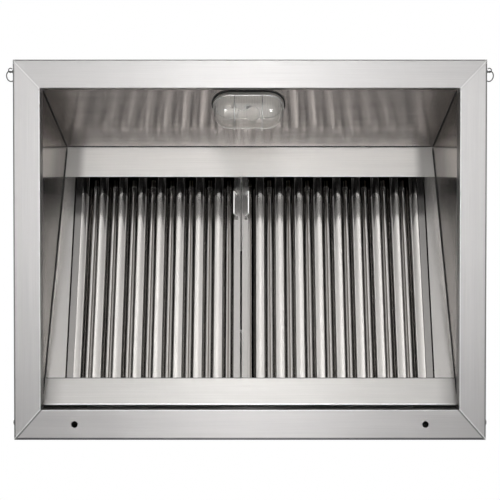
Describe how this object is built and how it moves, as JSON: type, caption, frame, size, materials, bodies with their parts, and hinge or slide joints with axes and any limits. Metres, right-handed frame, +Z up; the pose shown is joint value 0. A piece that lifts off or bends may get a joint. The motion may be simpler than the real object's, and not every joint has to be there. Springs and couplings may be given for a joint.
{
  "type": "commercial canopy hood",
  "caption": "Stainless box canopy hood seen from below: mitred rim, leaning liners, sloping lift-out baffle filters with wire bails, a caged oval light, hanging rings and a duct collar.",
  "frame": {"origin": "centre of the bottom rim's lower face", "axes": "+X to the right and +Y to the wall as the cook faces the hood, +Z up as installed"},
  "size_m": [1.28, 0.981, 0.455],
  "materials": {
    "brushed_stainless": "brushed stainless sheet with the grain along each piece",
    "polished_stainless": "bright rolled stainless baffle sheet",
    "bright_wire": "bright drawn wire",
    "galvanised_sheet": "dull zinc-coated sheet",
    "zinc_fasteners": "bright zinc-plated steel",
    "cast_base": "satin cast aluminium",
    "black_gasket": "matt black rubber",
    "clear_glass": "clear pressed glass",
    "white_ceramic": "white glazed ceramic",
    "black_plastic": "moulded black plastic"
  },
  "bodies": {
    "hood": {"rim_front": "brushed_stainless", "rim_rear": "brushed_stainless", "rim_left": "brushed_stainless", "rim_right": "brushed_stainless", "right_panel": "brushed_stainless", "left_panel": "brushed_stainless", "front_panel": "brushed_stainless", "rear_panel": "brushed_stainless", "top_panel": "brushed_stainless", "right_liner": "brushed_stainless", "left_liner": "brushed_stainless", "front_liner": "brushed_stainless", "plenum_front": "brushed_stainless", "upper_rail": "brushed_stainless", "lower_rail": "brushed_stainless", "right_filler": "brushed_stainless", "left_filler": "brushed_stainless", "light_guard": "bright_wire", "hanging_eyes": "bright_wire", "duct_collar": "galvanised_sheet", "junction_box": "galvanised_sheet", "junction_lid": "galvanised_sheet", "eye_nuts": "zinc_fasteners", "collar_screws": "zinc_fasteners", "lid_screws": "zinc_fasteners", "light_nipple": "zinc_fasteners", "light_locknut": "zinc_fasteners", "light_base": "cast_base", "light_gasket": "black_gasket", "light_glass": "clear_glass", "lamp_bulb": "clear_glass", "lamp_holder": "white_ceramic", "cable_gland": "black_plastic"},
    "left_filter": {"left_filter_frame": "polished_stainless", "left_front_baffles": "polished_stainless", "left_rear_baffles": "polished_stainless", "left_handle_ears": "polished_stainless"},
    "right_filter": {"right_filter_frame": "polished_stainless", "right_front_baffles": "polished_stainless", "right_rear_baffles": "polished_stainless", "right_handle_ears": "polished_stainless"},
    "left_bail": {"left_handle": "bright_wire"},
    "right_bail": {"right_handle": "bright_wire"},
    "front_left_hoop": {"ring_front_left": "bright_wire"},
    "front_right_hoop": {"ring_front_right": "bright_wire"},
    "rear_left_hoop": {"ring_rear_left": "bright_wire"},
    "rear_right_hoop": {"ring_rear_right": "bright_wire"}
  },
  "joints": [
    {"name": "left_filter_lift", "type": "slide", "parent": "hood", "child": "left_filter", "axis": [0, -0.9636, 0.2672], "range_m": [0, 0.034]},
    {"name": "right_filter_lift", "type": "slide", "parent": "hood", "child": "right_filter", "axis": [0, -0.9636, 0.2672], "range_m": [0, 0.034]},
    {"name": "left_handle_swing", "type": "hinge", "parent": "left_filter", "child": "left_bail", "pos_m": [-0.037, -0.12235, 0.16656], "axis": [0, 0.9636, -0.2672], "range_deg": [-20, 60]},
    {"name": "right_handle_swing", "type": "hinge", "parent": "right_filter", "child": "right_bail", "pos_m": [-0.011, -0.12235, 0.16656], "axis": [0, 0.9636, -0.2672], "range_deg": [-60, 20]},
    {"name": "front_left_ring_swing", "type": "hinge", "parent": "hood", "child": "front_left_hoop", "pos_m": [-0.631, -0.468, 0.06], "axis": [1, 0, 0], "range_deg": [-35, 35]},
    {"name": "front_right_ring_swing", "type": "hinge", "parent": "hood", "child": "front_right_hoop", "pos_m": [0.631, -0.468, 0.06], "axis": [1, 0, 0], "range_deg": [-35, 35]},
    {"name": "rear_left_ring_swing", "type": "hinge", "parent": "hood", "child": "rear_left_hoop", "pos_m": [-0.631, 0.457, 0.12], "axis": [1, 0, 0], "range_deg": [-35, 35]},
    {"name": "rear_right_ring_swing", "type": "hinge", "parent": "hood", "child": "rear_right_hoop", "pos_m": [0.631, 0.457, 0.12], "axis": [1, 0, 0], "range_deg": [-35, 35]}
  ]
}
